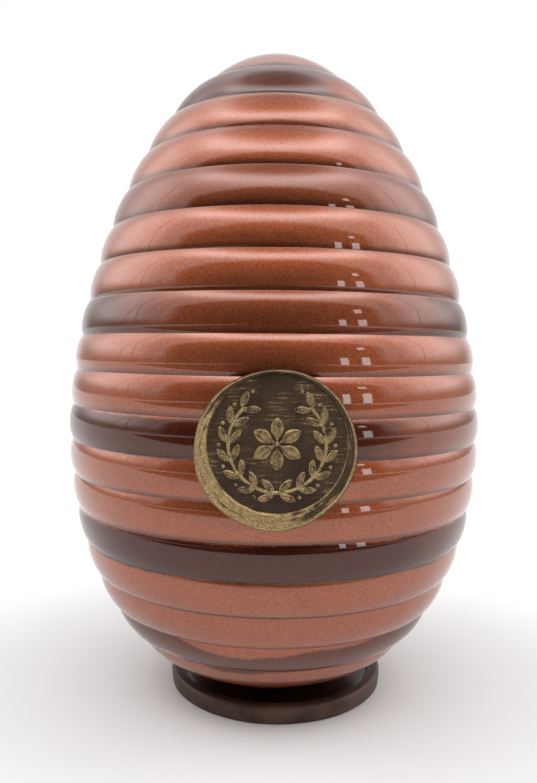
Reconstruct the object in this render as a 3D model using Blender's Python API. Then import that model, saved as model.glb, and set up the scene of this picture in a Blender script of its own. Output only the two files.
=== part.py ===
# Ribbed chocolate egg that stands in a shallow chocolate dish and wears a stamped chocolate seal.
# The origin is the centre of the dish's flat underside, +Z is up, and the seal faces -Y.

import math

import bmesh
import bpy
from mathutils import Vector
from mathutils.geometry import interpolate_bezier

# Body line of the egg: the smooth outline that the bottoms of the grooves touch
CROWN_HEIGHT = 0.1944
CROWN_REACH = 0.0400
SHOULDER_REACH = 0.0350
BELLY_RADIUS = 0.0622
BELLY_HEIGHT = 0.0821
HIP_REACH = 0.0535
UNDERSIDE_REACH = 0.0355
UNDERSIDE_HEIGHT = 0.0013
EGG_SHIFT = -0.0014

# Ribs, counted from the crown: the first is a cap, the others are bands round the egg
RIB_COUNT = 18
CAP_RISE = 0.0012
RIB_RISE = 0.0010
CAP_BAND = 0.0250
NARROWEST_BAND = 0.0101
NARROWEST_RIB = 10.9
BAND_GROWTH = 0.000047
CAP_STEPS = 7
RIB_STEPS = 4
UNDERSIDE_STEPS = 4

# Dish that the egg stands in
DISH_RADIUS = 0.0336
FOOT_EASE = 0.0003
DISH_HEIGHT = 0.0052
DISH_FLOOR = 0.0024
LIP_WIDTH = 0.0034
LIP_ROUNDING = 0.0010
ARC_STEPS = 4

# Seal: a round drop of chocolate with a stamped face
SEAL_RADIUS = 0.0189
SEAL_HEIGHT = 0.0824
SEAL_RIM_FRONT = 0.0668
SEAL_FACE_FRONT = 0.0657
STAMP_RADIUS = 0.0162
STAMP_SHIFT_X = 0.0004
STAMP_SHIFT_Z = 0.0016
# Rings of the seal: shares of the stamp, then shares of the rim with their fall, then shares of the back
STAMP_RINGS = (0.2, 0.4, 0.6, 0.8, 0.97)
RIM_RINGS = ((0.08, 0.0003), (0.35, 0.0), (0.70, 0.0002), (0.90, 0.0010))
BACK_RINGS = (1.0, 0.66, 0.33)
# Unevenness of the seal's edge: waves round it, their start, and their height as a share of the radius
EDGE_WAVES = ((2, 0.6, 0.008), (5, 2.1, 0.006))
DRIP = 0.012
DRIP_LEAN = 0.13
DRIP_SHARPNESS = 40
PETALS = 8
PETAL_RELIEF = 0.0005

# Shared
GAP = 0.0003
LINE_POINTS = 400
EGG_SEGMENTS = 44
DISH_SEGMENTS = 44
SEAL_SEGMENTS = 48
SHARP_ANGLE = math.radians(35)

COPPER = (0.32, 0.075, 0.035, 1.0)
DARK_CHOCOLATE = (0.045, 0.018, 0.011, 1.0)
OLD_GOLD = (0.12, 0.075, 0.035, 1.0)


def clear_scene():
    for old in list(bpy.data.objects):
        bpy.data.objects.remove(old, do_unlink=True)


def make_material(name, colour, roughness, metallic):
    material = bpy.data.materials.new(name)
    material.use_nodes = True
    shader = material.node_tree.nodes["Principled BSDF"]
    shader.inputs["Base Color"].default_value = colour
    shader.inputs["Roughness"].default_value = roughness
    shader.inputs["Metallic"].default_value = metallic
    return material


def make_object(name, bm, material):
    mesh = bpy.data.meshes.new(name)
    bm.to_mesh(mesh)
    bm.free()
    mesh.shade_smooth()
    mesh.set_sharp_from_angle(angle=SHARP_ANGLE)
    mesh.materials.append(material)
    piece = bpy.data.objects.new(name, mesh)
    bpy.context.collection.objects.link(piece)
    return piece


def turn(profile, segments):
    """Spin a profile of (radius, height) points, which starts and ends on the axis, into a solid."""
    bm = bmesh.new()
    points = [bm.verts.new((radius, 0.0, height)) for radius, height in profile]
    edges = [bm.edges.new(pair) for pair in zip(points, points[1:])]
    bmesh.ops.spin(
        bm,
        geom=points + edges,
        cent=(0.0, 0.0, 0.0),
        axis=(0.0, 0.0, 1.0),
        angle=math.tau,
        steps=segments,
        use_merge=True,
    )
    bmesh.ops.remove_doubles(bm, verts=bm.verts, dist=1e-7)
    bmesh.ops.recalc_face_normals(bm, faces=bm.faces)
    return bm


def body_line():
    """Points of the body line from the crown to the lowest point, as (radius, height) vectors."""
    crown = Vector((0.0, CROWN_HEIGHT))
    crown_handle = Vector((CROWN_REACH, CROWN_HEIGHT))
    shoulder_handle = Vector((BELLY_RADIUS, BELLY_HEIGHT + SHOULDER_REACH))
    belly = Vector((BELLY_RADIUS, BELLY_HEIGHT))
    hip_handle = Vector((BELLY_RADIUS, BELLY_HEIGHT - HIP_REACH))
    underside_handle = Vector((UNDERSIDE_REACH, UNDERSIDE_HEIGHT))
    underside = Vector((0.0, UNDERSIDE_HEIGHT))
    upper = interpolate_bezier(crown, crown_handle, shoulder_handle, belly, LINE_POINTS)
    lower = interpolate_bezier(belly, hip_handle, underside_handle, underside, LINE_POINTS)
    return upper + lower[1:]


class Line:
    """The body line read by the length run along it from the crown."""

    def __init__(self, points):
        self.points = points
        self.runs = [0.0]
        for here, there in zip(points, points[1:]):
            self.runs.append(self.runs[-1] + (there - here).length)

    def at(self, run):
        """The point at this length along the line, and the outward normal there."""
        index = 1
        while index < len(self.runs) - 1 and self.runs[index] < run:
            index += 1
        start = self.points[index - 1]
        end = self.points[index]
        part = (run - self.runs[index - 1]) / (self.runs[index] - self.runs[index - 1])
        along = (end - start).normalized()
        return start.lerp(end, part), Vector((-along.y, along.x))

    def run_at_height(self, height):
        """The length along the line where it passes this height on its way down."""
        for index in range(1, len(self.points)):
            if self.points[index].y <= height:
                above = self.points[index - 1]
                below = self.points[index]
                part = (above.y - height) / (above.y - below.y)
                return self.runs[index - 1] + part * (self.runs[index] - self.runs[index - 1])
        return self.runs[-1]


def groove_runs():
    """Lengths along the body line of the groove under each rib."""
    runs = [CAP_BAND]
    for rib in range(1, RIB_COUNT):
        band = NARROWEST_BAND + BAND_GROWTH * (rib + 0.5 - NARROWEST_RIB) ** 2
        runs.append(runs[-1] + band)
    return runs


def egg_profile(line):
    """The ribbed outline from the crown down to the flat spot that stands on the dish's floor."""
    grooves = groove_runs()
    profile = []
    for step in range(CAP_STEPS):
        part = step / CAP_STEPS
        point, normal = line.at(part * CAP_BAND)
        profile.append(point + normal * CAP_RISE * (1 - part * part))
    profile[0].x = 0.0
    for start, end in zip(grooves, grooves[1:]):
        for step in range(RIB_STEPS):
            part = step / RIB_STEPS
            point, normal = line.at(start + part * (end - start))
            bulge = 1 - (2 * part - 1) ** 2
            profile.append(point + normal * RIB_RISE * bulge)
    foot_height = DISH_FLOOR + GAP
    foot_run = line.run_at_height(foot_height)
    for step in range(UNDERSIDE_STEPS):
        run = grooves[-1] + step / UNDERSIDE_STEPS * (foot_run - grooves[-1])
        profile.append(line.at(run)[0])
    profile.append(Vector((line.at(foot_run)[0].x, foot_height)))
    profile.append(Vector((0.0, foot_height)))
    return profile


def make_egg(line):
    copper = make_material("copper_shell", COPPER, 0.22, 0.25)
    egg = make_object("egg", turn(egg_profile(line), EGG_SEGMENTS), copper)
    egg.location.x = EGG_SHIFT
    return egg


def arc(centre_radius, centre_height, radius, start, end):
    """Points of a round stretch of a profile, from one angle in degrees to another."""
    points = []
    for step in range(ARC_STEPS + 1):
        angle = math.radians(start + (end - start) * step / ARC_STEPS)
        across = centre_radius + radius * math.cos(angle)
        points.append((across, centre_height + radius * math.sin(angle)))
    return points


def make_dish():
    """A turned dish: flat underside, upright outer wall, rounded lip and a hollow floor."""
    hollow = DISH_HEIGHT - DISH_FLOOR
    inner_radius = DISH_RADIUS - LIP_WIDTH
    profile = [(0.0, 0.0), (DISH_RADIUS - FOOT_EASE, 0.0), (DISH_RADIUS, FOOT_EASE)]
    profile += arc(DISH_RADIUS - LIP_ROUNDING, DISH_HEIGHT - LIP_ROUNDING, LIP_ROUNDING, 0, 90)
    profile += arc(inner_radius - hollow, DISH_HEIGHT, hollow, 0, -90)
    profile.append((0.0, DISH_FLOOR))
    chocolate = make_material("dish_chocolate", DARK_CHOCOLATE, 0.3, 0.0)
    return make_object("dish", turn(profile, DISH_SEGMENTS), chocolate)


def seal_outline(angle):
    """Radius of the seal's uneven edge: a poured drop, pulled to a small point at its foot."""
    waver = sum(share * math.sin(waves * angle + start) for waves, start, share in EDGE_WAVES)
    drip = DRIP * max(0.0, -math.sin(angle + DRIP_LEAN)) ** DRIP_SHARPNESS
    return SEAL_RADIUS * (1 + waver + drip)


def petal_relief(radius, angle):
    """Height of the stamped flower above the seal's face."""
    across = radius / STAMP_RADIUS
    petal = math.cos(PETALS * angle / 2) ** 2
    return PETAL_RELIEF * petal * math.sin(math.pi * min(1.0, across * 1.3))


def shell_front(line, x, z):
    """Distance of the egg's rib tops in front of the X axis, at a place beside its own axis."""
    radius = line.at(line.run_at_height(z))[0].x + RIB_RISE
    return math.sqrt(radius * radius - x * x)


def make_seal(line):
    """Rings of points from the middle of the stamped face, over the rim, to the back."""
    rings = []
    for part in STAMP_RINGS:
        rings.append(("stamp", part * STAMP_RADIUS, SEAL_FACE_FRONT))
    for part, fall in RIM_RINGS:
        rings.append(("rim", part, SEAL_RIM_FRONT - fall))
    for part in BACK_RINGS:
        rings.append(("back", part, None))

    bm = bmesh.new()
    front_middle = bm.verts.new((STAMP_SHIFT_X, -SEAL_FACE_FRONT, STAMP_SHIFT_Z))
    loops = []
    for kind, size, front in rings:
        loop = []
        for step in range(SEAL_SEGMENTS):
            angle = math.tau * step / SEAL_SEGMENTS
            ray = Vector((math.cos(angle), math.sin(angle)))
            stamp_middle = Vector((STAMP_SHIFT_X, STAMP_SHIFT_Z))
            edge = ray * seal_outline(angle)
            if kind == "stamp":
                place = stamp_middle + ray * size
            elif kind == "rim":
                place = (stamp_middle + ray * STAMP_RADIUS).lerp(edge, size)
            else:
                place = edge * size
            if front is None:
                depth = shell_front(line, place.x, SEAL_HEIGHT + place.y) + GAP
            elif kind == "stamp":
                depth = front + petal_relief(size, angle)
            else:
                depth = front
            loop.append(bm.verts.new((place.x, -depth, place.y)))
        loops.append(loop)
    back_middle = bm.verts.new((0.0, -shell_front(line, 0.0, SEAL_HEIGHT) - GAP, 0.0))

    for step in range(SEAL_SEGMENTS):
        following = (step + 1) % SEAL_SEGMENTS
        bm.faces.new((front_middle, loops[0][step], loops[0][following]))
        bm.faces.new((back_middle, loops[-1][following], loops[-1][step]))
        for inner, outer in zip(loops, loops[1:]):
            bm.faces.new((inner[step], outer[step], outer[following], inner[following]))
    gold = make_material("seal_chocolate", OLD_GOLD, 0.4, 0.4)
    seal = make_object("seal", bm, gold)
    seal.location = (EGG_SHIFT, 0.0, SEAL_HEIGHT)
    return seal


clear_scene()
egg_line = Line(body_line())
make_dish()
make_egg(egg_line)
make_seal(egg_line)
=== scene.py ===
# Ribbed chocolate egg in its chocolate dish, with a stamped and gilded chocolate seal on the front
import math

import bpy
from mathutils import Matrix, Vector, noise
from mathutils.geometry import interpolate_bezier


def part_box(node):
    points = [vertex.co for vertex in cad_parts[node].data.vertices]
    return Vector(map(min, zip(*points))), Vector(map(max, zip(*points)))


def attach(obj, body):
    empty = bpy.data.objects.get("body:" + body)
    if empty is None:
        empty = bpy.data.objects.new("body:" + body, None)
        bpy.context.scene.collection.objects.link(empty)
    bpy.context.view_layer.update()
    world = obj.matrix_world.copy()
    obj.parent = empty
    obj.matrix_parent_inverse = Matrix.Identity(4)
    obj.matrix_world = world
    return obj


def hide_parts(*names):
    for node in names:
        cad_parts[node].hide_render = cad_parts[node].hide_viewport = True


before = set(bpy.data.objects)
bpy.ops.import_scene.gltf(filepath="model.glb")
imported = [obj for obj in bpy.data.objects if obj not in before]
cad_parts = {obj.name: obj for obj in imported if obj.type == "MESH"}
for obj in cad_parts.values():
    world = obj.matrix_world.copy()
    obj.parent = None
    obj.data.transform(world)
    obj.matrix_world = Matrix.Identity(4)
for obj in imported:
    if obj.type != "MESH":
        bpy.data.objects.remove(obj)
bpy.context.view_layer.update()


# Small helpers for node graphs

class Wire:
    # one output socket that can be used in sums
    def __init__(self, graph, socket):
        self.graph = graph
        self.socket = socket

    def math(self, operation, first, second=0.0):
        return self.graph.add("ShaderNodeMath", {"operation": operation}, {0: first, 1: second})

    def __add__(self, other):
        return self.math("ADD", self, other)

    def __radd__(self, other):
        return self.math("ADD", other, self)

    def __sub__(self, other):
        return self.math("SUBTRACT", self, other)

    def __rsub__(self, other):
        return self.math("SUBTRACT", other, self)

    def __mul__(self, other):
        return self.math("MULTIPLY", self, other)

    def __rmul__(self, other):
        return self.math("MULTIPLY", other, self)

    def __truediv__(self, other):
        return self.math("DIVIDE", self, other)

    def __pow__(self, other):
        return self.math("POWER", self, other)

    def __abs__(self):
        return self.math("ABSOLUTE", self)

    def max(self, other):
        return self.math("MAXIMUM", self, other)

    def min(self, other):
        return self.math("MINIMUM", self, other)


class Graph:
    # a node tree that is being filled
    def __init__(self, tree):
        self.tree = tree
        tree.nodes.clear()

    def add(self, kind, settings=None, sockets=None, out=0):
        node = self.tree.nodes.new(kind)
        for name, value in (settings or {}).items():
            if name == "stops":
                self.setStops(node.color_ramp, value)
            else:
                setattr(node, name, value)
        for name, value in (sockets or {}).items():
            if isinstance(value, Wire):
                self.tree.links.new(value.socket, node.inputs[name])
            else:
                node.inputs[name].default_value = value
        return Wire(self, node.outputs[out]) if len(node.outputs) else node

    def setStops(self, ramp, stops):
        while len(ramp.elements) < len(stops):
            ramp.elements.new(0.5)
        for element, (place, colour) in zip(ramp.elements, stops):
            element.position = place
            element.color = colour

    def axes(self, vector):
        parts = self.add("ShaderNodeSeparateXYZ", {}, {0: vector}).socket.node.outputs
        return [Wire(self, part) for part in parts]

    def step(self, value, low, high, start=0.0, end=1.0):
        # smooth step from start to end as the value goes from low to high
        settings = {"interpolation_type": "SMOOTHSTEP"}
        sockets = {"Value": value, "From Min": low, "From Max": high, "To Min": start, "To Max": end}
        return self.add("ShaderNodeMapRange", settings, sockets)

    def grain(self, coordinates, size, detail=2.0, roughness=0.5):
        # noise whose lumps are about this many metres across
        sockets = {"Vector": coordinates, "Scale": 1 / size, "Detail": detail, "Roughness": roughness}
        return self.add("ShaderNodeTexNoise", {}, sockets)

    def blend(self, factor, first, second):
        settings = {"data_type": "RGBA"}
        sockets = {0: factor, 6: first, 7: second}
        return self.add("ShaderNodeMix", settings, sockets, out=2)

    def scaled(self, colour, factor):
        settings = {"operation": "SCALE"}
        return self.add("ShaderNodeVectorMath", settings, {0: colour, "Scale": factor})


def newMaterial(name):
    material = bpy.data.materials.new(name)
    material.use_nodes = True
    return material, Graph(material.node_tree)


def finishMaterial(graph, sockets):
    shader = graph.add("ShaderNodeBsdfPrincipled", {}, sockets)
    graph.add("ShaderNodeOutputMaterial", {}, {"Surface": shader})


def newPiece(name, points, faces, material):
    mesh = bpy.data.meshes.new(name)
    mesh.from_pydata(points, [], faces)
    mesh.validate()
    mesh.shade_smooth()
    mesh.materials.append(material)
    piece = bpy.data.objects.new(name, mesh)
    bpy.context.scene.collection.objects.link(piece)
    return piece


def setField(piece, name, values):
    field = piece.data.attributes.new(name, "FLOAT", "POINT")
    field.data.foreach_set("value", values)


# The egg

eggLow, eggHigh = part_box("egg")
eggAxisX = (eggLow[0] + eggHigh[0]) / 2
eggTop = eggHigh[2]
eggFoot = eggLow[2]

egg = {
    "capRise": 0.0012,          # how far the cap stands above the body line
    "crownReach": 0.0400,       # bluntness of the crown
    "shoulderReach": 0.0350,
    "bellyRadius": 0.0622,      # body line at its widest
    "bellyHeight": 0.0821,
    "hipReach": 0.0535,
    "undersideReach": 0.0355,
    "undersideHeight": 0.0013,
    "ribs": 18,
    "capBand": 0.0250,          # run from the crown to the first groove
    "narrowBand": 0.0101,       # width of the narrowest rib
    "narrowRib": 10.9,
    "bandGrowth": 0.000047,
    "rise": 0.0010,             # rise of a rib above the body line
    "squareness": 2.5,          # 2 is a plain round rib, more has steeper sides
    "capSquareness": 1.8,
    "lineSteps": 500,
    "stepsPerRib": 16,
    "footSteps": 10,
    "columns": 200,
    "seamColumns": (0.0025, 0.005, 0.0075, 0.011, 0.016),   # radians beside a seam
    "seamDepth": 0.00016,       # the two half shells meet at the sides
    "seamWidth": 0.00045,
    "waver": 0.00010,           # slight hand-made unevenness
    "ripple": 0.00004,          # finer lumps, which bend what the gloss mirrors
    "crownFade": 0.02,          # the unevenness fades out this near the axis
}


def bodyLine():
    crown = Vector((0.0, eggTop - egg["capRise"]))
    crownHandle = Vector((egg["crownReach"], crown.y))
    belly = Vector((egg["bellyRadius"], egg["bellyHeight"]))
    shoulder = belly + Vector((0.0, egg["shoulderReach"]))
    hip = belly - Vector((0.0, egg["hipReach"]))
    underside = Vector((0.0, egg["undersideHeight"]))
    undersideHandle = underside + Vector((egg["undersideReach"], 0.0))
    upper = interpolate_bezier(crown, crownHandle, shoulder, belly, egg["lineSteps"])
    lower = interpolate_bezier(belly, hip, undersideHandle, underside, egg["lineSteps"])
    return upper + lower[1:]


class Line:
    # an outline read by the length run along it
    def __init__(self, points):
        self.points = points
        self.runs = [0.0]
        for here, there in zip(points, points[1:]):
            self.runs.append(self.runs[-1] + (there - here).length)

    def at(self, run):
        low, high = 0, len(self.runs) - 1
        while high - low > 1:
            middle = (low + high) // 2
            if self.runs[middle] < run:
                low = middle
            else:
                high = middle
        part = (run - self.runs[low]) / (self.runs[high] - self.runs[low])
        along = (self.points[high] - self.points[low]).normalized()
        return self.points[low].lerp(self.points[high], part), Vector((-along.y, along.x))

    def runAtHeight(self, height):
        for index, point in enumerate(self.points):
            if point.y <= height:
                return self.runs[index]
        return self.runs[-1]


eggLine = Line(bodyLine())


def grooveRuns():
    runs = [egg["capBand"]]
    for rib in range(1, egg["ribs"]):
        runs.append(runs[-1] + egg["narrowBand"] + egg["bandGrowth"] * (rib + 0.5 - egg["narrowRib"]) ** 2)
    return runs


def eggOutline():
    # points down the egg, each with its rib number and how far down that rib it lies
    grooves = grooveRuns()
    outline = []
    capSteps = egg["stepsPerRib"] * 2
    for step in range(capSteps):
        part = step / capSteps
        point, normal = eggLine.at(part * grooves[0])
        rise = egg["capRise"] * (1 - part ** egg["capSquareness"])
        outline.append((point + normal * rise, part))
    for rib, (start, end) in enumerate(zip(grooves, grooves[1:]), 1):
        for step in range(egg["stepsPerRib"]):
            # steps crowd towards the grooves, where the rib turns fastest
            part = 0.5 - 0.5 * math.cos(math.pi * step / egg["stepsPerRib"])
            point, normal = eggLine.at(start + part * (end - start))
            bulge = 1 - abs(2 * part - 1) ** egg["squareness"]
            outline.append((point + normal * egg["rise"] * bulge, rib + part))
    footRun = eggLine.runAtHeight(eggFoot)
    for step in range(egg["footSteps"]):
        part = step / egg["footSteps"]
        point = eggLine.at(grooves[-1] + part * (footRun - grooves[-1]))[0]
        outline.append((point, egg["ribs"] + part))
    footRadius = eggLine.at(footRun)[0].x
    for share in (1.0, 0.5):
        outline.append((Vector((footRadius * share, eggFoot)), egg["ribs"] + 1.0))
    return outline


def eggAngles():
    # even columns, with a few more beside the seams at the left and right
    angles = {math.tau * column / egg["columns"] for column in range(egg["columns"])}
    for side in (0.0, math.pi):
        for offset in egg["seamColumns"]:
            angles.add((side + offset) % math.tau)
            angles.add((side - offset) % math.tau)
    return sorted(angles)


def roundNoise(ray, height, around, up, start=0.0):
    # unevenness that closes on itself round the axis
    return noise.noise(Vector((ray.x * around, ray.y * around, height * up + start)))


def seamDrop(angle, radius, height):
    # a fine joint between the half shells, a little chipped
    reach = abs(math.sin(angle)) * radius
    chip = 1 + 0.8 * noise.noise(Vector((height * 260, math.cos(angle) * 3, 0.0)))
    return egg["seamDepth"] * chip * math.exp(-((reach / egg["seamWidth"]) ** 2))


def makeEgg(material):
    outline = eggOutline()
    angles = eggAngles()
    points = [(eggAxisX, 0.0, eggTop)]
    bands = [0.0]
    for place, band in outline[1:]:
        for angle in angles:
            ray = Vector((math.cos(angle), math.sin(angle)))
            lump = roundNoise(ray, place.y, 2.2, 38)
            ripple = roundNoise(ray, place.y, 7, 120, 9)
            fade = min(1.0, place.x / egg["crownFade"])
            uneven = egg["waver"] * (lump - 0.6) + egg["ripple"] * (ripple - 1)
            radius = place.x + fade * (uneven - seamDrop(angle, place.x, place.y))
            points.append((eggAxisX + ray.x * radius, ray.y * radius, place.y))
            bands.append(band)
    points.append((eggAxisX, 0.0, eggFoot))
    bands.append(egg["ribs"] + 1.0)
    count = len(angles)
    faces = []
    last = len(points) - 1
    lastRow = last - count
    for column in range(count):
        beside = (column + 1) % count
        faces.append((0, 1 + column, 1 + beside))
        faces.append((last, lastRow + beside, lastRow + column))
        for row in range(len(outline) - 2):
            top = 1 + row * count
            low = top + count
            faces.append((top + column, low + column, low + beside, top + beside))
    piece = newPiece("eggShell", points, faces, material)
    setField(piece, "band", bands)
    return piece


copper = {
    "copper": (0.335, 0.086, 0.034, 1.0),
    "chocolate": (0.062, 0.0120, 0.0060, 1.0),
    "flake": 0.00055,           # size of the pearl dust
    "flakeContrast": 1.70,
    "roughness": 0.46,
    "grooveFrom": 0.84,         # share of a rib where its groove starts to darken
    "paintedGrooveShade": 0.38,
    # where the copper spray leaves a rib dark: from and to in ribs, how dark, how soft its edges are,
    # the share left in the middle, and how it thins out to the right: from, to, and the share left
    "darkRibs": [
        {"from": 1.02, "to": 2.10, "dark": 0.85, "soft": 0.10, "middle": 1.0, "thin": (0.008, 0.022, 0.0)},
        {"from": 4.05, "to": 4.98, "dark": 0.50, "soft": 0.10, "middle": 0.9, "thin": (0.030, 0.044, 1.0)},
        {"from": 7.02, "to": 7.99, "dark": 0.85, "soft": 0.06, "middle": 0.36, "thin": (0.030, 0.044, 1.0)},
        {"from": 10.02, "to": 10.99, "dark": 0.92, "soft": 0.05, "middle": 1.0, "thin": (0.018, 0.034, 0.45)},
        {"from": 13.02, "to": 13.99, "dark": 0.97, "soft": 0.04, "middle": 1.0, "thin": (0.030, 0.044, 0.85)},
        {"from": 16.30, "to": 16.99, "dark": 0.78, "soft": 0.04, "middle": 1.0, "thin": (0.030, 0.044, 1.0)},
    ],
}


def makeCopper():
    material, graph = newMaterial("copperShell")
    place = graph.add("ShaderNodeTexCoord", {}, {}, out=3)
    across = graph.axes(place)[0]
    band = graph.add("ShaderNodeAttribute", {"attribute_name": "band"}, {}, out=2)
    wave = graph.grain(place, 0.020, 3.0) - 0.5
    fray = graph.grain(place, 0.0016, 4.0, 0.65) - 0.5
    # the lowest copper edge sags in the middle and is torn
    low = graph.step(band, 15.0, 15.6)
    sag = graph.grain(place, 0.045, 2.0) - 0.5
    edge = band + wave * 0.22 + sag * low * 1.1 + fray * (0.10 - 0.03 * low)
    edge = edge + low * graph.step(band, 16.9, 16.6) * (abs(across) * 9.0).min(0.45)
    dark = None
    for rib in copper["darkRibs"]:
        soft = rib["soft"]
        inside = graph.step(edge, rib["from"] - soft, rib["from"] + soft)
        inside = inside * graph.step(edge, rib["to"] - soft, rib["to"] + soft, 1.0, 0.0)
        inside = inside * graph.step(abs(across + wave * 0.03), 0.022, 0.046, rib["middle"], 1.0)
        start, end, left = rib["thin"]
        inside = inside * graph.step(across + wave * 0.02, start, end, 1.0, left)
        inside = inside * rib["dark"]
        dark = inside if dark is None else dark.max(inside)
    flake = graph.grain(place, copper["flake"], 3.0, 0.7) - 0.5
    mottle = graph.grain(place, 0.006, 3.0, 0.6) - 0.5
    tone = 1 + flake * copper["flakeContrast"] + mottle * 0.16
    colour = graph.scaled(graph.blend(dark, copper["copper"], copper["chocolate"]), tone)
    speck = graph.add("ShaderNodeTexVoronoi", {}, {"Vector": place, "Scale": 150.0})
    dust = graph.step(speck, 0.030, 0.055)
    colour = graph.scaled(colour, 0.45 + 0.55 * dust)
    # painted shade: the lowest share of each rib darkens towards the groove below it
    part = graph.add("ShaderNodeMath", {"operation": "FRACT"}, {0: band})
    colour = graph.scaled(colour, graph.step(part, copper["grooveFrom"], 0.99, 1.0, copper["paintedGrooveShade"]))
    scratch = graph.grain(place, 0.0012, 2.0)
    bump = graph.add("ShaderNodeBump", {}, {"Strength": 0.06, "Distance": 0.0004, "Height": scratch})
    finishMaterial(graph, {
        "Base Color": colour,
        "Metallic": 0.80,
        "Specular IOR Level": 0.0,
        "Roughness": copper["roughness"] + 0.12 * flake,
        "Normal": bump,
        "Coat Weight": 1 - dark * 0.25,
        "Coat Roughness": 0.03,
        "Coat IOR": 1.62,
    })
    return material


print("egg")
eggShell = makeEgg(makeCopper())
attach(eggShell, "root")
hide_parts("egg")


# The dish

dishLow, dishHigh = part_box("dish")

dish = {
    "footShare": 0.991,         # underside radius as a share of the widest radius
    "lipWidth": 0.0034,
    "lipRounding": 0.0011,
    "floor": 0.0024,
    "columns": 160,
    "waver": 0.00012,
    "middleFade": 0.02,         # the unevenness fades out this near the middle
    "chocolate": (0.046, 0.0195, 0.0115, 1.0),
    "bloom": (0.110, 0.060, 0.040, 1.0),
}


def roundStretch(middle, height, radius, start, end, steps):
    stretch = []
    for step in range(steps + 1):
        angle = math.radians(start + (end - start) * step / steps)
        stretch.append((middle + radius * math.cos(angle), height + radius * math.sin(angle)))
    return stretch


def dishOutline():
    radius = (dishHigh[0] - dishLow[0]) / 2 - dish["waver"]
    tall = dishHigh[2]
    hollow = tall - dish["floor"]
    foot = radius * dish["footShare"]
    outline = [(foot * share, 0.0) for share in (0.25, 0.5, 0.75, 0.97)]
    for step in range(8):
        part = step / 8
        reach = foot + (radius - foot) * math.sin(part * math.pi / 2)
        outline.append((reach, tall * 0.06 + part * tall * 0.6))
    rounding = dish["lipRounding"]
    outline += roundStretch(radius - rounding, tall - rounding, rounding, 0, 90, 8)
    innerRounding = rounding * 0.7
    inner = radius - dish["lipWidth"]
    outline += roundStretch(inner + innerRounding, tall - innerRounding, innerRounding, 90, 180, 6)[1:]
    outline += roundStretch(inner - hollow, tall, hollow, -15, -90, 10)
    outline += [((inner - hollow) * share, dish["floor"]) for share in (0.75, 0.5, 0.25)]
    return outline


def makeDish(material):
    outline = dishOutline()
    points = [(0.0, 0.0, 0.0)]
    count = dish["columns"]
    for radius, height in outline:
        for column in range(count):
            angle = math.tau * column / count
            ray = Vector((math.cos(angle), math.sin(angle)))
            lump = roundNoise(ray, height, 2.5, 150)
            reach = radius + dish["waver"] * lump * min(1.0, radius / dish["middleFade"])
            lift = 0.0
            if height >= 0.0001:
                lift = dish["waver"] * roundNoise(ray, 0.0, 3, 0, 7.0)
            points.append((ray.x * reach, ray.y * reach, min(height + lift * 0.6, dishHigh[2])))
    points.append((0.0, 0.0, dish["floor"]))
    faces = []
    last = len(points) - 1
    lastRow = last - count
    for column in range(count):
        beside = (column + 1) % count
        faces.append((0, 1 + beside, 1 + column))
        faces.append((last, lastRow + column, lastRow + beside))
        for row in range(len(outline) - 1):
            near = 1 + row * count
            far = near + count
            faces.append((near + column, near + beside, far + beside, far + column))
    return newPiece("chocolateDish", points, faces, material)


def makeDishChocolate():
    material, graph = newMaterial("dishChocolate")
    place = graph.add("ShaderNodeTexCoord", {}, {}, out=3)
    across, depth = graph.axes(place)[:2]
    cloud = graph.grain(place, 0.010, 4.0, 0.6)
    fine = graph.grain(place, 0.0007, 3.0, 0.6)
    reach = (across * across + depth * depth) ** 0.5
    outside = graph.step(reach, dishHigh[0] - 0.0040, dishHigh[0] - 0.0022)
    colour = graph.blend(graph.step(cloud, 0.35, 0.75) * outside, dish["chocolate"], dish["bloom"])
    # painted shade: the hollow inside the lip is kept darker than the lip
    colour = graph.scaled(colour, 0.85 + 0.15 * outside)
    colour = graph.scaled(colour, 0.88 + 0.24 * fine)
    bump = graph.add("ShaderNodeBump", {}, {"Strength": 0.15, "Distance": 0.0003, "Height": fine})
    finishMaterial(graph, {
        "Base Color": colour,
        "Roughness": 0.16 + 0.24 * outside + 0.10 * cloud,
        "Specular IOR Level": 0.35,
        "Normal": bump,
    })
    return material


print("dish")
chocolateDish = makeDish(makeDishChocolate())
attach(chocolateDish, "root")
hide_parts("dish")


# The seal

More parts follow.
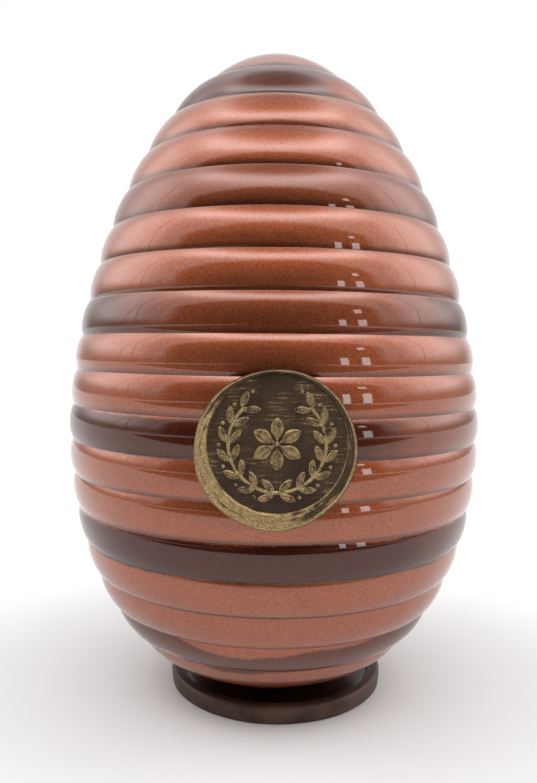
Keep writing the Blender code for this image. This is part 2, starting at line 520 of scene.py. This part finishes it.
seal = {
    "radius": 0.0189,
    "height": 0.0824,
    "front": 0.0668,            # how far the rim stands in front of the egg's axis
    "sink": 0.0011,             # depth of the stamped face below the rim
    "stampRadius": 0.0162,
    "stampX": 0.0004,
    "stampZ": 0.0016,
    "gap": 0.0003,
    "columns": 360,
    "faceRows": 96,
    "rimRows": 26,
    "relief": 0.00058,
    "faceLump": 0.00005,
    # waves of the edge: size, count round it, start
    "edgeWaves": ((0.008, 2, 0.6), (0.006, 5, 2.1)),
    "edgeLump": 0.006,
    "drip": 0.012,              # small point at the foot
    "dripLean": 0.13,
    "dripSharpness": 40,
    "rim": {
        "wallRun": 0.00035,     # the stamp's wall climbs over this run
        "climbShare": 0.74,     # share of the rim that still climbs
        "climb": 0.00055,
        "lump": 0.00015,
        "ripple": 0.00011,
        "lip": 0.00016,         # squeezed edge beside the stamp
        "lipShare": 0.10,
        "turnShare": 0.22,      # outer share of the rim, which turns back
        "turnDrop": 0.0016,
    },
    "sprig": {
        "leafPairs": 7,
        "firstPair": -78,       # degrees from level
        "pairStep": 22,
        "lean": 0.55,           # how the leaves lean off the stem, in radians
        "outerReach": 0.0128,
        "innerReach": 0.0098,
        "leafLong": 0.0021,
        "leafWide": 0.00085,
        "berryReach": 0.0134,
        "berrySize": 0.00045,
        "stemReach": 0.0113,
        "stemHalf": 0.00038,
        "stemTop": 0.0085,
        "stemRise": 0.75,
    },
    "flower": {
        "petals": 6,
        "petalReach": 0.0037,
        "petalLong": 0.0026,
        "petalWide": 0.00155,
        "stamenReach": 0.0011,
        "stamenSize": 0.00034,
        "heartSize": 0.0006,
    },
    "chocolate": (0.036, 0.0175, 0.0085, 1.0),
    "olive": (0.064, 0.0350, 0.0150, 1.0),
    "gold": (0.400, 0.255, 0.095, 1.0),
    "paleGold": (0.720, 0.540, 0.280, 1.0),
}


def leafRise(x, z, leaf):
    # a pointed leaf with a vein: how high it stands here, 0 to 1
    dx = x - leaf["x"]
    dz = z - leaf["z"]
    along = (dx * leaf["cos"] + dz * leaf["sin"]) / leaf["long"]
    if abs(along) >= 1:
        return 0.0
    aside = (dz * leaf["cos"] - dx * leaf["sin"]) / (leaf["wide"] * (1 - along * along))
    if abs(aside) >= 1:
        return 0.0
    vein = 0.45 * math.exp(-((aside / 0.16) ** 2))
    return (1 - aside ** 4) ** 0.5 * min(1.0, (1 - abs(along)) * 4) * (1 - vein)


def newLeaf(x, z, turn, long, wide):
    return {"x": x, "z": z, "cos": math.cos(turn), "sin": math.sin(turn), "long": long, "wide": wide}


def motifShapes():
    # two leafy sprigs curve up round a flower
    sprig = seal["sprig"]
    flower = seal["flower"]
    leaves = []
    berries = []
    rows = ((sprig["lean"], sprig["outerReach"]), (-sprig["lean"], sprig["innerReach"]))
    for side in (-1, 1):
        for index in range(sprig["leafPairs"]):
            angle = math.radians(sprig["firstPair"] + index * sprig["pairStep"])
            for swing, reach in rows:
                x = side * math.cos(angle) * reach
                z = math.sin(angle) * reach
                turn = angle + math.pi / 2 - swing
                if side < 0:
                    turn = math.pi - turn
                leaves.append(newLeaf(x, z, turn, sprig["leafLong"], sprig["leafWide"]))
            spot = angle + math.radians(sprig["pairStep"] / 2)
            reach = sprig["berryReach"]
            berries.append((side * math.cos(spot) * reach, math.sin(spot) * reach, sprig["berrySize"]))
    for index in range(flower["petals"]):
        angle = math.tau * index / flower["petals"] + math.pi / flower["petals"]
        x = math.cos(angle) * flower["petalReach"]
        z = math.sin(angle) * flower["petalReach"]
        leaves.append(newLeaf(x, z, angle, flower["petalLong"], flower["petalWide"]))
        reach = flower["stamenReach"]
        berries.append((math.cos(angle) * reach, math.sin(angle) * reach, flower["stamenSize"]))
    berries.append((0.0, 0.0, flower["heartSize"]))
    return leaves, berries


motifLeaves, motifBerries = motifShapes()


def motifRise(x, z):
    # the highest leaf, berry or stem at this place, 0 to 1
    sprig = seal["sprig"]
    rise = 0.0
    for leaf in motifLeaves:
        if abs(x - leaf["x"]) < leaf["long"] and abs(z - leaf["z"]) < leaf["long"]:
            rise = max(rise, leafRise(x, z, leaf))
    for spotX, spotZ, size in motifBerries:
        apart = ((x - spotX) ** 2 + (z - spotZ) ** 2) / (size * size)
        if apart < 1:
            rise = max(rise, math.sqrt(1 - apart))
    stem = abs(math.hypot(x, z) - sprig["stemReach"])
    if stem < sprig["stemHalf"] and z < sprig["stemTop"]:
        rise = max(rise, sprig["stemRise"] * math.sqrt(1 - (stem / sprig["stemHalf"]) ** 2))
    return rise


def sealEdge(angle):
    # uneven edge of a poured drop, with a small point at its foot
    waver = sum(size * math.sin(count * angle + start) for size, count, start in seal["edgeWaves"])
    drip = seal["drip"] * max(0.0, -math.sin(angle + seal["dripLean"])) ** seal["dripSharpness"]
    lump = seal["edgeLump"] * noise.noise(Vector((math.cos(angle) * 3, math.sin(angle) * 3, 2.0)))
    return seal["radius"] * (1 + waver + drip + lump)


def shellFront(x, z):
    # the egg's rib tops in front of its axis
    radius = eggLine.at(eggLine.runAtHeight(seal["height"] + z))[0].x + egg["rise"]
    return math.sqrt(radius * radius - x * x)


def rimFront(part, x, z, margin):
    # over the rim, from the stamp's wall at 0 to the outer edge at 1
    lump = noise.noise(Vector((x * 330, z * 330, 1.0)))
    ripple = noise.noise(Vector((x * 900, z * 900, 5.0)))
    rim = seal["rim"]
    wall = min(1.0, part * margin / rim["wallRun"])
    outer = max(0.0, (part - (1 - rim["turnShare"])) / rim["turnShare"])
    climb = min(1.0, part / rim["climbShare"])
    crown = seal["front"] - rim["climb"] * (1 - climb) ** 1.5
    crown = crown - rim["lump"] * (1 - lump) + rim["ripple"] * ripple
    crown += rim["lip"] * math.exp(-((part / rim["lipShare"]) ** 2))
    front = crown - seal["sink"] * (1 - math.sin(wall * math.pi / 2))
    return front - rim["turnDrop"] * outer ** 2.2


def makeSeal(material):
    # the gilt field runs 0 to 1 up the motif, 1.2 to 2.2 over the rim, and stays 2.2 behind
    points = []
    gilt = []
    count = seal["columns"]
    stamp = Vector((seal["stampX"], seal["stampZ"]))
    face = seal["front"] - seal["sink"]
    rows = []

    def put(x, front, z, gold):
        points.append((eggAxisX + x, -front, seal["height"] + z))
        gilt.append(gold)

    put(stamp.x, face + seal["relief"] * motifRise(0.0, 0.0), stamp.y, motifRise(0.0, 0.0))
    for row in range(1, seal["faceRows"] + 1):
        reach = seal["stampRadius"] * row / seal["faceRows"]
        rows.append(len(points))
        for column in range(count):
            angle = math.tau * column / count
            x = math.cos(angle) * reach
            z = math.sin(angle) * reach
            rise = motifRise(x, z)
            lump = noise.noise(Vector((x * 420, z * 420, 3.0))) * seal["faceLump"]
            put(stamp.x + x, face + lump + seal["relief"] * rise, stamp.y + z, rise)
    for row in range(1, seal["rimRows"] + 1):
        part = row / seal["rimRows"]
        rows.append(len(points))
        for column in range(count):
            angle = math.tau * column / count
            ray = Vector((math.cos(angle), math.sin(angle)))
            inner = stamp + ray * seal["stampRadius"]
            edge = ray * sealEdge(angle)
            place = inner.lerp(edge, part)
            front = rimFront(part, place.x, place.y, (edge - inner).length)
            put(place.x, front, place.y, 1.2 + part)
    for share in (1.0, 0.985, 0.66, 0.33):
        rows.append(len(points))
        for column in range(count):
            angle = math.tau * column / count
            place = Vector((math.cos(angle), math.sin(angle))) * sealEdge(angle) * share
            put(place.x, shellFront(place.x, place.y) + seal["gap"], place.y, 2.2)
    put(0.0, shellFront(0.0, 0.0) + seal["gap"], 0.0, 2.2)

    faces = []
    last = len(points) - 1
    for column in range(count):
        beside = (column + 1) % count
        faces.append((0, rows[0] + column, rows[0] + beside))
        faces.append((last, rows[-1] + beside, rows[-1] + column))
        for near, far in zip(rows, rows[1:]):
            faces.append((near + column, far + column, far + beside, near + beside))
    piece = newPiece("waxStyleSeal", points, faces, material)
    setField(piece, "gilt", gilt)
    return piece


def makeGilding():
    material, graph = newMaterial("gildedSeal")
    place = graph.add("ShaderNodeTexCoord", {}, {}, out=3)
    axes = graph.axes(place)
    gilt = graph.add("ShaderNodeAttribute", {"attribute_name": "gilt"}, {}, out=2)
    brush = graph.grain(place, 0.0022, 5.0, 0.65)
    fine = graph.grain(place, 0.00035, 4.0, 0.65)
    broad = graph.grain(place, 0.009, 2.0)
    # brush marks run across the face, a little downhill
    turned = (0.0, math.radians(18), 0.0)
    slant = graph.add("ShaderNodeMapping", {}, {0: place, 2: turned, 3: (0.22, 1.0, 2.2)})
    combed = graph.grain(slant, 0.0011, 4.0, 0.6)
    sideX = axes[0] - eggAxisX
    sideZ = axes[2] - seal["height"]
    # the brush caught the rim mostly at the left and below
    lowerLeft = graph.step(sideX * -0.75 + sideZ * -0.66, -0.004, 0.012)
    onRim = graph.step(gilt, 1.12, 1.20)
    outerWall = graph.step(gilt, 1.98, 2.10)
    # gold sits on the outlines of the relief more than on its tops
    onRelief = graph.step(gilt, 0.10, 0.40) * graph.step(gilt, 0.72, 0.96, 1.0, 0.45) * (1 - onRim)
    relief = onRelief * graph.step(brush + fine * 0.5, 0.56, 0.86)
    # strokes follow the rim round
    around = graph.add("ShaderNodeMath", {"operation": "ARCTAN2"}, {0: sideZ, 1: sideX})
    reach = (sideX * sideX + sideZ * sideZ) ** 0.5
    ring = graph.add("ShaderNodeCombineXYZ", {}, {0: around * 0.0022, 1: reach, 2: 0.0})
    strokes = graph.grain(ring, 0.0007, 4.0, 0.6)
    # the rim's outer crest and the stamp's edge are gilded all the way round, partly as a painted highlight
    # line along them
    crestGildAndGleam = graph.step(gilt, 1.80, 1.90) * graph.step(gilt, 1.99, 2.06, 1.0, 0.0)
    crestGildAndGleam = crestGildAndGleam.max(graph.step(gilt, 1.19, 1.21) * graph.step(gilt, 1.24, 1.32, 1.0, 0.0) * 0.8)
    rim = graph.step(strokes * 1.3 + brush * 0.5 + fine * 0.3 + lowerLeft * 0.42, 1.14, 1.50)
    rim = onRim * rim.max(crestGildAndGleam * graph.step(strokes + brush, 0.70, 1.05)) * (1 - outerWall * 0.6)
    streak = graph.step(combed + broad * 0.5 + fine * 0.35, 0.96, 1.26) * 0.55 * (1 - onRim)
    gold = relief.max(rim).max(streak)
    base = graph.blend(graph.step(broad + brush * 0.6, 0.55, 1.05), seal["chocolate"], seal["olive"])
    bright = graph.blend(graph.step(fine, 0.40, 0.65), seal["gold"], seal["paleGold"])
    colour = graph.blend(gold, base, bright)
    marks = brush * 0.6 + combed + fine
    bump = graph.add("ShaderNodeBump", {}, {"Strength": 0.50, "Distance": 0.00025, "Height": marks})
    finishMaterial(graph, {
        "Base Color": colour,
        "Metallic": gold * 0.75,
        "Roughness": 0.48 - gold * 0.10,
        "Specular IOR Level": 0.30,
        "Normal": bump,
    })
    return material


print("seal")
sealPiece = makeSeal(makeGilding())
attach(sealPiece, "root")
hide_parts("seal")


# Floor, light and camera

stage = {
    "floorSize": 8.0,
    "floorColour": (0.79, 0.79, 0.79, 1.0),
    "tableFront": -0.27,        # the white table ends here, as the egg's gloss sees it
    "shadeSheetHalf": 1.2,
    "shadeSheetLift": 0.001,
    "roomShade": (0.020, 0.017, 0.016, 1.0),
    "background": (1.0, 1.0, 1.0, 1.0),
}


def makePlane(name, corners, material):
    plane = newPiece(name, corners, [(0, 1, 2, 3)], material)
    return plane


def makeStage():
    pale, graph = newMaterial("paleFloor")
    finishMaterial(graph, {"Base Color": stage["floorColour"], "Roughness": 0.9, "Specular IOR Level": 0.0})
    far = stage["floorSize"]
    makePlane("floor", [(-far, -far, 0), (far, -far, 0), (far, far, 0), (-far, far, 0)], pale)
    dusk, graph = newMaterial("glossShadeSheet")
    finishMaterial(graph, {"Base Color": stage["roomShade"], "Roughness": 1.0, "Specular IOR Level": 0.0})
    near = stage["tableFront"]
    half = stage["shadeSheetHalf"]
    lift = stage["shadeSheetLift"]
    corners = [(-half, -far, lift), (half, -far, lift), (half, near, lift), (-half, near, lift)]
    shadeSheet = makePlane("glossShadeSheet", corners, dusk)
    # painted shade: a dark sheet that only gloss sees stands in for the unlit room in front; it darkens what
    # the ribs mirror and nothing else
    shadeSheet.visible_camera = False
    shadeSheet.visible_diffuse = False
    shadeSheet.visible_shadow = False


light = {
    "highWall": 1.20,           # the tent above the ribs' eye level
    "flank": 1.15,              # extra light from high at both sides
    "lowWall": 0.35,            # dim lower part at the sides
    "lowBack": 1.3,
    "lampBand": 3.6,            # bright strip high in front
    "lampBandAt": 60.0,
    "lampBandWidth": 9.0,
    "crown": 0.45,              # share of light left straight above
    "holeAt": 84.0,
    "holeSize": 10.0,
    "holeDark": 0.70,           # share of light left in the hole
    "room": 0.03,
    "openingWide": (1.42, 2.20),    # slopes between which the front opening ends
    "openingTall": (1.02, 1.30),
    "window": 4.5,
    "seamShade": 0.45,          # share of light left in a seam
    # dark seams of the tent: direction at eye level, lean, half width
    "seams": (
        (-71.0, 0.10, 0.5), (-83.0, -0.16, 0.8), (-97.0, 0.22, 0.6),
        (73.0, -0.12, 0.5), (88.0, 0.18, 0.7),
    ),
    # window panes: direction, height, half width, half height, all in degrees
    "panes": ((37.5, 5.5, 2.3, 8.5), (49.0, 5.5, 2.9, 8.5), (49.0, 26.0, 2.5, 2.5)),
}


def makeWorld():
    world = bpy.data.worlds.new("lightTent")
    bpy.context.scene.world = world
    world.use_nodes = True
    graph = Graph(world.node_tree)
    view = graph.add("ShaderNodeTexCoord", {}, {}, out=0)
    x, y, z = graph.axes(view)
    flat = (x * x + y * y) ** 0.5
    turn = graph.add("ShaderNodeMath", {"operation": "ARCTAN2"}, {0: x, 1: y * -1})
    rise = graph.add("ShaderNodeMath", {"operation": "ARCTAN2"}, {0: z, 1: flat})
    turn = turn * (180 / math.pi)          # 0 in front, positive to the right
    rise = rise * (180 / math.pi)
    # front opening of the tent, through which the dark room shows
    forward = (y * -1).max(0.02)
    wide = abs(x) / forward
    tall = z / forward
    opening = graph.step(wide, *light["openingWide"], 1.0, 0.0)
    opening = opening * graph.step(tall, *light["openingTall"], 1.0, 0.0)
    opening = opening * graph.step(y, -0.10, 0.0, 1.0, 0.0)
    lamp = (abs(rise - light["lampBandAt"]) / light["lampBandWidth"]) ** 2
    lamp = graph.add("ShaderNodeMath", {"operation": "EXPONENT"}, {0: lamp * -1})
    lamp = lamp * light["lampBand"] * graph.step(y, -0.25, 0.3, 1.0, 0.12)
    side = abs(turn)
    flank = graph.step(side, 72.0, 90.0) * graph.step(side, 110.0, 136.0, 1.0, 0.0) * light["flank"]
    flank = flank * graph.step(rise, 38.0, 58.0, 1.0, 0.0)
    lowWall = light["lowWall"] + graph.step(side, 128.0, 150.0) * (light["lowBack"] - light["lowWall"])
    upper = graph.step(rise, 2.0, 15.0)
    wall = lowWall * (1 - upper) + (flank + light["highWall"]) * upper
    wall = wall * graph.step(rise, 60.0, 74.0, 1.0, light["crown"])
    wall = wall * graph.step(side, 105.0, 140.0, 1.0, 0.75)
    for place, lean, half in light["seams"]:
        apart = abs(turn - (rise * lean + place))
        wall = wall * graph.step(apart, half * 0.4, half, light["seamShade"], 1.0)
    holeY = -math.cos(math.radians(light["holeAt"]))
    hole = ((y - holeY) * (y - holeY) + x * x) ** 0.5
    edge = math.sin(math.radians(light["holeSize"]))
    aboveTable = graph.step(z, 0.0, 0.1)
    hole = graph.step(hole, edge * 0.8, edge * 1.35, light["holeDark"], 1.0) * aboveTable
    hole = hole + graph.step(z, 0.0, 0.1, 1.0, 0.0)
    tent = (wall + lamp) * (1 - opening) + opening * light["room"]
    tent = tent * hole
    panes = None
    for paneTurn, paneRise, halfWide, halfTall in light["panes"]:
        pane = graph.step(abs(turn - paneTurn), halfWide * 0.75, halfWide, 1.0, 0.0)
        pane = pane * graph.step(abs(rise - paneRise), halfTall * 0.85, halfTall, 1.0, 0.0)
        panes = pane if panes is None else panes.max(pane)
    strength = tent + panes * light["window"]
    lit = graph.add("ShaderNodeBackground", {}, {"Color": (1.0, 1.0, 1.0, 1.0), "Strength": strength})
    plain = graph.add("ShaderNodeBackground", {}, {"Color": stage["background"], "Strength": 1.0})
    seen = graph.add("ShaderNodeLightPath", {}, {})
    mixed = graph.add("ShaderNodeMixShader", {}, {0: seen, 1: lit, 2: plain})
    graph.add("ShaderNodeOutputWorld", {}, {"Surface": mixed})


camera = {
    "away": 0.2302,
    "height": 0.1059,
    "aside": -0.0018,           # from the egg's axis
    "down": 3.41,               # degrees
    "roll": 0.56,
    "sensor": 24.0,
    "lens": 22.07,
}


def makeCamera():
    data = bpy.data.cameras.new("camera")
    data.sensor_fit = "VERTICAL"
    data.sensor_height = camera["sensor"]
    data.lens = camera["lens"]
    data.clip_start = 0.01
    view = bpy.data.objects.new("camera", data)
    bpy.context.scene.collection.objects.link(view)
    view.rotation_mode = "XYZ"
    view.location = (eggAxisX + camera["aside"], -camera["away"], camera["height"])
    view.rotation_euler = (math.radians(90 - camera["down"]), -math.radians(camera["roll"]), 0.0)
    bpy.context.scene.camera = view


print("stage")
makeStage()
makeWorld()
makeCamera()
scene = bpy.context.scene
scene.view_settings.view_transform = "Standard"
scene.view_settings.look = "None"
